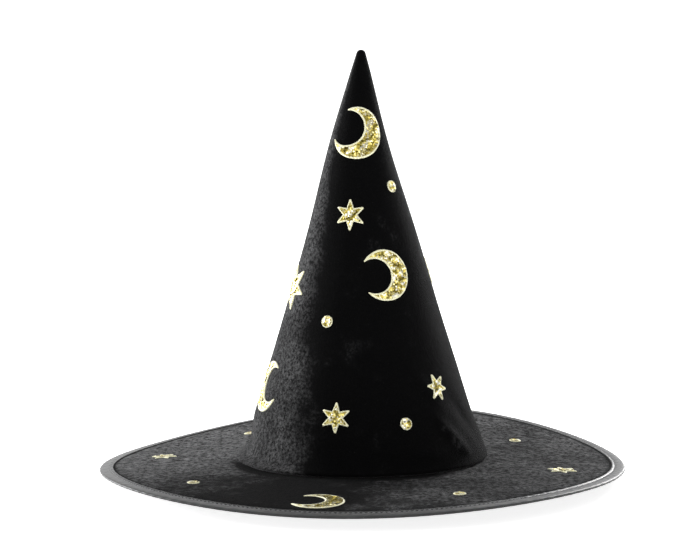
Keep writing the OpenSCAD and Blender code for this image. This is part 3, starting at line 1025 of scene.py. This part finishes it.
def on_crown(flat, high, place):
    """Lays flat points on the crown: the cone is unrolled about its apex, so a sideways run becomes a
    turn and a fall, then each point is lifted off the velvet along its normal."""
    turn, z0 = math.radians(place[0]), place[1]
    flat = turned(flat, place[2])
    reach = (CONE_APEX - z0) / math.cos(CONE_ANGLE)
    away = np.hypot(flat[..., 0], reach - flat[..., 1])
    a = turn + np.arctan2(flat[..., 0], reach - flat[..., 1]) / math.sin(CONE_ANGLE)
    z = CONE_APEX - away * math.cos(CONE_ANGLE)
    r = crown_radius(z) + high * math.cos(CONE_ANGLE)
    z = z + high * math.sin(CONE_ANGLE)
    return settle(np.stack([r * np.sin(a), -r * np.cos(a), z], axis=-1))


def on_brim(flat, high, place):
    """Lays flat points on the brim's velvet, at a height above it."""
    flat = turned(flat, place[2])
    x, y = flat[..., 0] + place[0], flat[..., 1] + place[1]
    r = np.hypot(x, y)
    return settle(np.stack([x, y, brim_under(r) + BRIM_T + 0.65 * high], axis=-1))


def padded_rows(edge_rows, lay, place):
    """A patch from nested outlines: top from the middle out, bottom back in, slightly domed."""
    share = np.linspace(0.04, 1, 8)[:, None, None]
    top = edge_rows[None] * share
    lift = (GLITTER_T + 0.25 * (1 - share[..., 0] ** 2)) * np.ones(top.shape[:2])
    under = top[::-1]
    flat = np.concatenate([top, under])
    high = np.concatenate([lift, np.full(lift.shape, -PATCH_SUNK)])
    return tube(lay(flat, high, place))


def crescent_patch(inset, lay, place):
    """A patch for a moon: across it from the far arc to the near one and back underneath, carried from
    tip to tip."""
    far, near = moon_outline(inset, 96)
    near = near[::-1]
    t = np.linspace(0, 1, 9)
    share = t[None, :, None]
    across = (far[1:-1, None] * (1 - share) + near[1:-1, None] * share) * place[3]
    flat = np.concatenate([across, across[:, ::-1]], axis=1)
    dome = GLITTER_T + 0.3 * np.sin(np.pi * t)
    high = np.concatenate([dome, np.full(t.shape, -PATCH_SUNK)])[None, :] * np.ones(flat.shape[:2])
    return tube(lay(flat, high, place))


def edge_band(outer, inner, lay, place, rng):
    """Satin stitch along an outline: the band between two outlines is raised in a half round, and each
    thread across it makes a ridge, with slightly uneven ends."""
    count = len(outer)
    step = np.arange(count)
    ridge = 0.5 + 0.5 * np.cos(step * 2 * np.pi / 3)
    ends = np.repeat(rng.normal(0, 0.1, count // 3 + 1), 3)[:count]
    share = np.linspace(0, 1, 7)[None, :, None]
    wide = (outer - inner) / np.maximum(np.linalg.norm(outer - inner, axis=1, keepdims=True), 0.3)
    outer = outer + wide * ends[:, None]
    across = outer[:, None] * (1 - share) + inner[:, None] * share
    rise = sizes().edging_height / MM * np.sqrt(np.maximum(0.02, np.sin(np.pi * np.linspace(0.03, 0.97, 7))))
    high = rise[None, :] * (0.86 + 0.14 * ridge[:, None])
    flat = np.concatenate([across, across[:, ::-1]], axis=1)
    high = np.concatenate([high, np.full(high.shape, -0.3)], axis=1)
    return tube(lay(flat, high, place), wrap_rows=True)


def inside(outline, spots):
    """Which spots lie inside an outline: an odd number of its sides cross the line to their right."""
    a, b = outline, np.roll(outline, -1, axis=0)
    x, y = spots[:, :1], spots[:, 1:]
    cross = (a[None, :, 1] > y) != (b[None, :, 1] > y)
    rise = np.where(b[:, 1] == a[:, 1], 1e-9, b[:, 1] - a[:, 1])
    at = a[None, :, 0] + (y - a[None, :, 1]) * ((b[:, 0] - a[:, 0]) / rise)[None]
    return (cross & (x < at)).sum(1) % 2 == 1


def flakes(outline, lay, place, rng):
    """Glitter: six-sided flakes on a shaken grid inside an outline, each thin, tilted and turned its own
    way. Returns the skin and each point's tone."""
    wide = sizes().flake_width / MM
    pitch = wide * 0.72
    reach = np.abs(outline).max() + pitch
    i, j = np.meshgrid(np.arange(-reach, reach, pitch), np.arange(-reach, reach, pitch * 0.866))
    i = i + (np.arange(i.shape[0]) % 2)[:, None] * pitch / 2
    spots = np.stack([i.ravel(), j.ravel()], axis=-1)
    spots = spots + rng.uniform(-0.35, 0.35, spots.shape) * pitch
    spots = spots[inside(outline, spots)]
    count = len(spots)
    turn = rng.uniform(0, np.pi, count)[:, None]
    lean_x, lean_y = rng.normal(0, 0.2, (2, count, 1))
    a = full_turn(6)[None, :] + turn
    grow = rng.uniform(0.75, 1.15, count)[:, None] * wide / 2
    du, dv = np.cos(a) * grow, np.sin(a) * grow
    wave, slant, start = (rng.uniform(*span, (4, 1)) for span in ((0.5, 1.1), (0, np.pi), (0, 6.3)))
    phase = wave * (np.cos(slant) * spots[:, 0] + np.sin(slant) * spots[:, 1]) + start
    lean_x = lean_x + 0.13 * np.cos(phase).sum(0)[:, None]
    lean_y = lean_y + 0.13 * np.sin(phase).sum(0)[:, None]
    tilt = du * lean_x + dv * lean_y
    base = GLITTER_T + 0.3 + rng.uniform(0, 0.16, count)[:, None]
    flat = spots[:, None, None] + np.stack([du, dv], axis=-1)[:, None]
    flat = np.repeat(flat, 2, axis=1)
    high = np.stack([base + tilt + FLAKE_T / 2, base + tilt - FLAKE_T / 2], axis=1)
    part = many(lay(flat, high, place))
    cluster = 0.16 * np.sin(phase * 1.3).sum(0)
    each = len(part[0]) // max(count, 1)
    return part, np.repeat(np.clip(rng.beta(1.6, 1.1, count) + cluster, 0, 1), each)


def motif(kind, lay, place, seed):
    """The glitter skin with its tones, and the embroidered edge, of one moon, star or dot."""
    rng = np.random.default_rng(seed)
    wide = sizes().edging_width / MM
    if kind == "moon":
        outer, inner = (np.concatenate([far[:-1], near[:-1]]) * place[3]
                        for far, near in (moon_outline(0.0, 190), moon_outline(wide, 190)))
        patch = crescent_patch(wide * 0.7, lay, place)
    elif kind == "star":
        per_side = round(place[3] * 0.6 / 0.15)
        outer = star_outline(place[3], 0.0, per_side)
        inner = star_outline(place[3], min(wide, place[3] * 0.105), per_side)
        patch = padded_rows(star_outline(place[3], wide * 0.5, 8), lay, place)
    else:
        outer, inner = ring_outline(DOT_R, 198), ring_outline(DOT_R - wide * 0.6, 198)
        patch = padded_rows(ring_outline(DOT_R - wide * 0.4, 48), lay, place)
    glitter, tones = flakes(inner, lay, place, rng)
    tones = np.concatenate([np.full(len(patch[0]), PATCH_TONE), tones])
    return join([patch, glitter]), tones, edge_band(outer, inner, lay, place, rng)


# Places. Crown: turn from the front towards +X, height, spin, radius of a star or size
# of a moon. Brim: x, y, spin, radius or size.
CROWN_MOTIFS = (
    ("moon", "crown_moon_upper", (-5.2, 262.0, 151, 1.03)),
    ("moon", "crown_moon_middle", (20.1, 159, 182.5, 1.0)),
    ("moon", "crown_moon_left", (-71.3, 73.4, 17, 1.0)),
    ("moon", "crown_moon_rear_left", (-136, 124, 200, 1.0)),
    ("moon", "crown_moon_rear_right", (122, 90, 165, 1.0)),
    ("star", "crown_star_upper", (-13.0, 202.5, 0, 12.1)),
    ("star", "crown_star_left", (-74.5, 146.5, 20, 18)),
    ("star", "crown_star_front", (-14.5, 57.9, 0, 11.7)),
    ("star", "crown_star_right", (47.0, 76.2, 17, 10.7)),
    ("star", "crown_star_rear_high", (150, 212, 12, 12.3)),
    ("star", "crown_star_rear_left", (-142, 60, 8, 11.5)),
    ("star", "crown_star_rear_right", (102, 156, 20, 12.3)),
)
CROWN_DOTS = ((49, 222.3), (-26.2, 125.5), (22.5, 52.9), (-120, 194), (166, 156), (105, 56), (-166, 90),
              (142, 44))
BRIM_MOTIFS = (
    ("moon", "brim_moon_front", (-31.2, -158.9, 160, 1.0)),
    ("moon", "brim_moon_rear", (52, 142, 40, 1.0)),
    ("star", "brim_star_left", (-153, 24.5, 20, 10.2)),
    ("star", "brim_star_right", (147.8, -51, 10, 11.5)),
    ("star", "brim_star_rear", (-42, 156, 0, 11.5)),
)
BRIM_DOTS = ((-91, 109.5), (-122, -94.5), (120.5, 65), (68.4, -141.3), (-4, 118))


def sew_motifs(area, motifs, dots, lay, first_seed):
    """Makes every motif of the crown or brim: one glitter piece each, the dots together, and the edges."""
    edges_node = area + "_motif_edging"
    for number, (kind, node, place) in enumerate(motifs):
        skin, tone, edge = motif(kind, lay, place, first_seed + number)
        make_piece(node + "_glitter", skin, gold_glitter(), [node], sharp=30, values=tone)
        make_piece(node + "_edge", edge, pale_gold_thread(), [edges_node])
    skins, tones, edges = zip(*[motif("dot", lay, (*place, 0.0), first_seed + 50 + number)
                                for number, place in enumerate(dots)])
    make_piece(area + "_dots_glitter", join(skins), gold_glitter(), [area + "_dots"],
               sharp=30, values=np.concatenate(tones))
    make_piece(area + "_dots_edge", join(edges), pale_gold_thread(), [edges_node])


class WITCH_HAT_OT_crown_motifs(bpy.types.Operator):
    """Sew the moons, stars and dots on the crown"""
    bl_idname = "witch_hat.crown_motifs"
    bl_label = "Crown Motifs"

    def execute(self, context):
        sew_motifs("crown", CROWN_MOTIFS, CROWN_DOTS, on_crown, 100)
        return {"FINISHED"}


class WITCH_HAT_OT_brim_motifs(bpy.types.Operator):
    """Sew the moons, stars and dots on the brim"""
    bl_idname = "witch_hat.brim_motifs"
    bl_label = "Brim Motifs"

    def execute(self, context):
        sew_motifs("brim", BRIM_MOTIFS, BRIM_DOTS, on_brim, 200)
        return {"FINISHED"}


# ---------------------------------------------------------------- stage
def soft_light(name, place, aim, wide, tall, power):
    """A rectangular soft light at a place, turned to its aim, in metres and watts."""
    lamp = bpy.data.lights.new(name, "AREA")
    lamp.shape, lamp.size, lamp.size_y, lamp.energy = "RECTANGLE", wide, tall, power
    stand = bpy.data.objects.new(name, lamp)
    stand.location = place
    stand.rotation_euler = look(place, aim)
    bpy.context.scene.collection.objects.link(stand)


def look(place, aim):
    """The turn that points a light's or camera's -Z from place to aim, with its top upwards."""
    return (Vector(aim) - Vector(place)).to_track_quat("-Z", "Y").to_euler()


class WITCH_HAT_OT_stage(bpy.types.Operator):
    """Set up the pale floor, the soft lights and the camera"""
    bl_idname = "witch_hat.stage"
    bl_label = "Studio"

    def execute(self, context):
        scene = context.scene
        studio = scene.witch_hat_studio
        scene.view_settings.view_transform = "Standard"
        self.floor()
        self.sky(scene, studio.surround)
        aim = (0.0, 0.0, CROWN_TOP * MM * 0.45)
        soft_light("key_left", (-1.6, 0.75, 0.24), aim, 0.6, 0.36, studio.key_power)
        soft_light("rim_right", (0.95, 1.5, 0.85), aim, 0.5, 0.9, studio.rim_power)
        self.overhead(studio.overhead_strength)
        lens = bpy.data.cameras.new("camera")
        lens.lens = studio.focal_length
        lens.sensor_width = 36.0
        lens.clip_end = 50.0
        stand = bpy.data.objects.new("camera", lens)
        tilt = studio.elevation
        stand.location = (0.0, -studio.distance * math.cos(tilt),
                          studio.distance * math.sin(tilt) + EDGE_LIFT * MM)
        stand.rotation_euler = look(stand.location, (studio.aim_x, 0.0, studio.aim_z))
        scene.collection.objects.link(stand)
        scene.camera = stand
        return {"FINISHED"}

    @staticmethod
    def overhead(strength):
        """A very soft light from straight above, the same all over the floor."""
        lamp = bpy.data.lights.new("overhead", "SUN")
        lamp.energy, lamp.angle = strength, math.radians(70)
        stand = bpy.data.objects.new("overhead", lamp)
        stand.rotation_euler = look((-0.5, 0.7, 2.0), (0, 0, 0))
        bpy.context.scene.collection.objects.link(stand)

    @staticmethod
    def floor():
        """A wide floor: flat round the hat, then rising in a slow curve to a rim beyond the view."""
        mesh = bpy.data.meshes.new("floor")
        flat_r, rim_r, columns = 2.0, 14.0, 96
        r = np.concatenate([[0.4, 1.0], np.linspace(flat_r, rim_r, 40)])
        section = np.stack([r, 0.028 * np.maximum(r - flat_r, 0) ** 2 + FLOOR_Z * MM], axis=-1)
        points, fours, threes = tube(spin(section, full_turn(columns)).transpose(1, 0, 2))
        threes = threes[:columns, ::-1]
        mesh.from_pydata(points[:-1].tolist(), [], fours[:, ::-1].tolist() + threes.tolist())
        mesh.polygons.foreach_set("use_smooth", np.ones(len(mesh.polygons), bool))
        mesh.materials.append(start_material("floor_paint", {
            "Base Color": (0.92, 0.92, 0.92, 1.0), "Roughness": 0.9,
            "Emission Color": (1.0, 1.0, 1.0, 1.0), "Emission Strength": 0.78})[0])
        piece = bpy.data.objects.new("floor", mesh)
        bpy.context.scene.collection.objects.link(piece)

    @staticmethod
    def sky(scene, strength):
        world = scene.world or bpy.data.worlds.new("studio")
        scene.world = world
        world.use_nodes = True
        background = world.node_tree.nodes["Background"]
        background.inputs["Color"].default_value = (1.0, 1.0, 1.0, 1.0)
        background.inputs["Strength"].default_value = strength


# ---------------------------------------------------------------- what a user can change
def number_property(name, text, value, low, high, **kind):
    return bpy.props.FloatProperty(name=name, description=text, default=value, min=low, max=high, **kind)


def length_property(name, text, value, low, high):
    return number_property(name, text, value * MM, low * MM, high * MM, unit="LENGTH", precision=5)


def colour_property(name, text, value):
    return bpy.props.FloatVectorProperty(name=name, description=text, default=value, subtype="COLOR",
                                         min=0.0, max=1.0, size=3)


class WitchHatSizes(bpy.types.PropertyGroup):
    flake_width: length_property("Flake width", "Width of one glitter flake", 1.5, 0.6, 3.0)
    edging_width: length_property("Edging width", "Width of the embroidered edge of a motif", 1.6, 1.0, 2.5)
    edging_height: length_property("Edging height", "Height of the embroidered edge", 1.0, 0.4, 1.5)
    stitch_length: length_property("Stitch length", "Pitch of the stitches in the binding", 3.5, 2.0, 6.0)


class WitchHatColours(bpy.types.PropertyGroup):
    velvet: colour_property("Velvet", "Colour of the velvet", (0.0032, 0.0032, 0.0034))
    # Painted light: the lighter velvet colour used where the attribute "tone" paints the lit side and sheen,
    # and for random clumps of lying pile.
    brushed: colour_property("Brushed velvet", "Colour where the pile is brushed over", (0.1, 0.1, 0.102))
    felt: colour_property("Felt", "Colour of the crown's felt", (0.045, 0.045, 0.048))
    lining: colour_property("Lining", "Colour of the lining", (0.012, 0.012, 0.015))
    underside: colour_property("Underside", "Colour of the satin under the brim", (0.011, 0.011, 0.013))
    sweatband: colour_property("Sweatband", "Colour of the sweatband", (0.014, 0.014, 0.017))
    binding: colour_property("Binding", "Colour of the satin binding", (0.05, 0.051, 0.052))
    edging: colour_property("Edging", "Colour of the embroidery thread", (1.0, 0.93, 0.6))
    glitter: colour_property("Glitter", "Middle colour of the glitter", (0.74, 0.6, 0.13))


class WitchHatStudio(bpy.types.PropertyGroup):
    distance: number_property("Distance", "Camera to the middle of the hat", 1.8, 0.5, 5.0, unit="LENGTH")
    elevation: number_property("Elevation", "Camera's angle above the table", math.radians(11.39),
                               math.radians(-10), math.radians(80), subtype="ANGLE")
    focal_length: number_property("Focal length", "Camera lens, in mm", 121.1, 20.0, 300.0)
    aim_x: number_property("Aim across", "Where the camera looks, across", -0.0094, -1.0, 1.0, unit="LENGTH")
    aim_z: number_property("Aim height", "Where the camera looks, height", 0.1532, -1.0, 1.0, unit="LENGTH")
    key_power: number_property("Key light", "Power of the light on the left", 38.0, 0.0, 1000.0, unit="POWER")
    rim_power: number_property("Rim light", "Power of the light at the back", 34.0, 0.0, 1000.0, unit="POWER")
    overhead_strength: number_property("Overhead light", "Strength of the overhead light", 1.3, 0.0, 20.0)
    surround: number_property("Surround", "Strength of the pale surround", 0.42, 0.0, 5.0)


class WITCH_HAT_PT_panel(bpy.types.Panel):
    """Lists the hat's steps, sizes and colours"""
    bl_idname = "WITCH_HAT_PT_panel"
    bl_label = "Witch Hat"
    bl_space_type = "VIEW_3D"
    bl_region_type = "UI"
    bl_category = "Witch Hat"

    def draw(self, context):
        layout = self.layout
        for step in STEPS:
            layout.operator(step.bl_idname)
        for group in (context.scene.witch_hat_sizes, context.scene.witch_hat_colours,
                      context.scene.witch_hat_studio):
            box = layout.box()
            for name in type(group).__annotations__:
                box.prop(group, name)


GROUPS = (WitchHatSizes, WitchHatColours, WitchHatStudio)
STEPS = (
    WITCH_HAT_OT_crown_shell, WITCH_HAT_OT_crown_inside, WITCH_HAT_OT_head_seam, WITCH_HAT_OT_sweatband,
    WITCH_HAT_OT_brim_cloth, WITCH_HAT_OT_brim_wire, WITCH_HAT_OT_brim_binding, WITCH_HAT_OT_crown_motifs,
    WITCH_HAT_OT_brim_motifs, WITCH_HAT_OT_stage,
)


def register():
    for made in GROUPS + STEPS + (WITCH_HAT_PT_panel,):
        bpy.utils.register_class(made)
    bpy.types.Scene.witch_hat_sizes = bpy.props.PointerProperty(type=WitchHatSizes)
    bpy.types.Scene.witch_hat_colours = bpy.props.PointerProperty(type=WitchHatColours)
    bpy.types.Scene.witch_hat_studio = bpy.props.PointerProperty(type=WitchHatStudio)


def unregister():
    del bpy.types.Scene.witch_hat_sizes
    del bpy.types.Scene.witch_hat_colours
    del bpy.types.Scene.witch_hat_studio
    for made in reversed(GROUPS + STEPS + (WITCH_HAT_PT_panel,)):
        bpy.utils.unregister_class(made)


def main():
    register()
    for step in STEPS:
        family, name = step.bl_idname.split(".")
        getattr(getattr(bpy.ops, family), name)()


if __name__ == "__main__":
    main()
